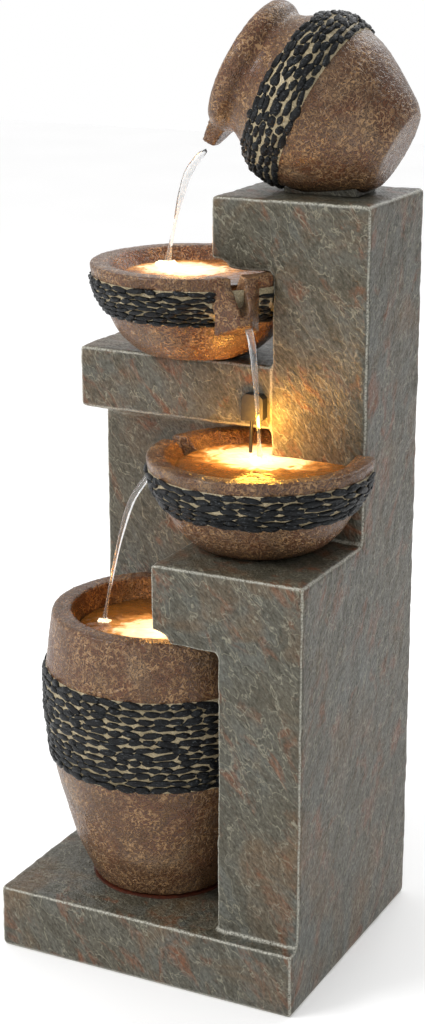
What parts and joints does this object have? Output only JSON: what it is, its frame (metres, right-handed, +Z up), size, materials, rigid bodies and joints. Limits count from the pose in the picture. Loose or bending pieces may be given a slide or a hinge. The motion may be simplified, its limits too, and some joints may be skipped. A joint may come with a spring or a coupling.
{
  "type": "tiered water fountain",
  "caption": "Floor fountain: a tilted jug pours into stepped lit bowls on a slate-look column over a round pot, with a pump behind a rear access cover.",
  "frame": {"origin": "middle of the base's flat underside", "axes": "+Z up, -Y is the front with the bowls, +X to the right seen from the front"},
  "size_m": [0.3676, 0.3464, 1.0036],
  "materials": {
    "slate_resin": "rough slate texture with rust stains",
    "bronzed_resin": "stippled matt brown",
    "pebble_mosaic": "dark pebbles in pale grout",
    "sealant": "glossy",
    "steel": "satin",
    "light_housing": "matt",
    "light_board": "gloss",
    "light_cover": "frosted, lit warm white",
    "rubber": "matt",
    "cable_jacket": "satin",
    "pump_plastic": "matt",
    "potting": "matt",
    "ceramic_shaft": "polished",
    "magnet": "matt",
    "hose": "translucent"
  },
  "bodies": {
    "fountain": {"base_plate": "slate_resin", "base_screws": "steel", "casting_base": "slate_resin", "casting_column": "slate_resin", "casting_head": "slate_resin", "casting_rear": "slate_resin", "casting_shelf": "slate_resin", "casting_stand": "slate_resin", "delivery_hose": "hose", "drain_pipe": "pump_plastic", "drain_screen": "pump_plastic", "hose_clips": "steel", "jug": "bronzed_resin", "jug_band": "pebble_mosaic", "jug_inlet": "pump_plastic", "jug_light_board": "light_board", "jug_light_cover": "light_cover", "jug_light_housing": "light_housing", "jug_saddle": "slate_resin", "lead_grommet": "rubber", "light_cable": "cable_jacket", "lower_pot": "bronzed_resin", "middle_band": "pebble_mosaic", "middle_bowl": "bronzed_resin", "middle_light_board": "light_board", "middle_light_cover": "light_cover", "middle_light_housing": "light_housing", "outlet_nozzle": "pump_plastic", "pot_band": "pebble_mosaic", "pot_light_board": "light_board", "pot_light_cover": "light_cover", "pot_light_housing": "light_housing", "pot_mouth": "bronzed_resin", "pot_seat": "sealant", "pump_body": "pump_plastic", "pump_coil": "potting", "pump_face": "pump_plastic", "pump_feet": "rubber", "pump_shaft": "ceramic_shaft", "shelf_grommet": "rubber", "upper_band": "pebble_mosaic", "upper_bowl": "bronzed_resin", "upper_light_board": "light_board", "upper_light_cover": "light_cover", "upper_light_housing": "light_housing"},
    "cover": {"access_cover": "slate_resin", "cover_gasket": "rubber"},
    "impeller": {"pump_impeller": "pump_plastic", "rotor_magnet": "magnet"},
    "dial": {"flow_dial": "pump_plastic"},
    "strainer": {"pump_strainer": "pump_plastic"}
  },
  "joints": [
    {"name": "cover_slide", "type": "slide", "parent": "fountain", "child": "cover", "axis": [0, 1, 0], "range_m": [0, 0.15]},
    {"name": "impeller_spin", "type": "hinge", "parent": "fountain", "child": "impeller", "pos_m": [0.112, 0.081, 0.099], "axis": [0, 1, 0], "continuous": true},
    {"name": "dial_turn", "type": "hinge", "parent": "fountain", "child": "dial", "pos_m": [0.112, 0.1, 0.099], "axis": [0, 1, 0], "range_deg": [0, 90]},
    {"name": "strainer_slide", "type": "slide", "parent": "fountain", "child": "strainer", "axis": [0, 1, 0], "range_m": [0, 0.025]}
  ]
}
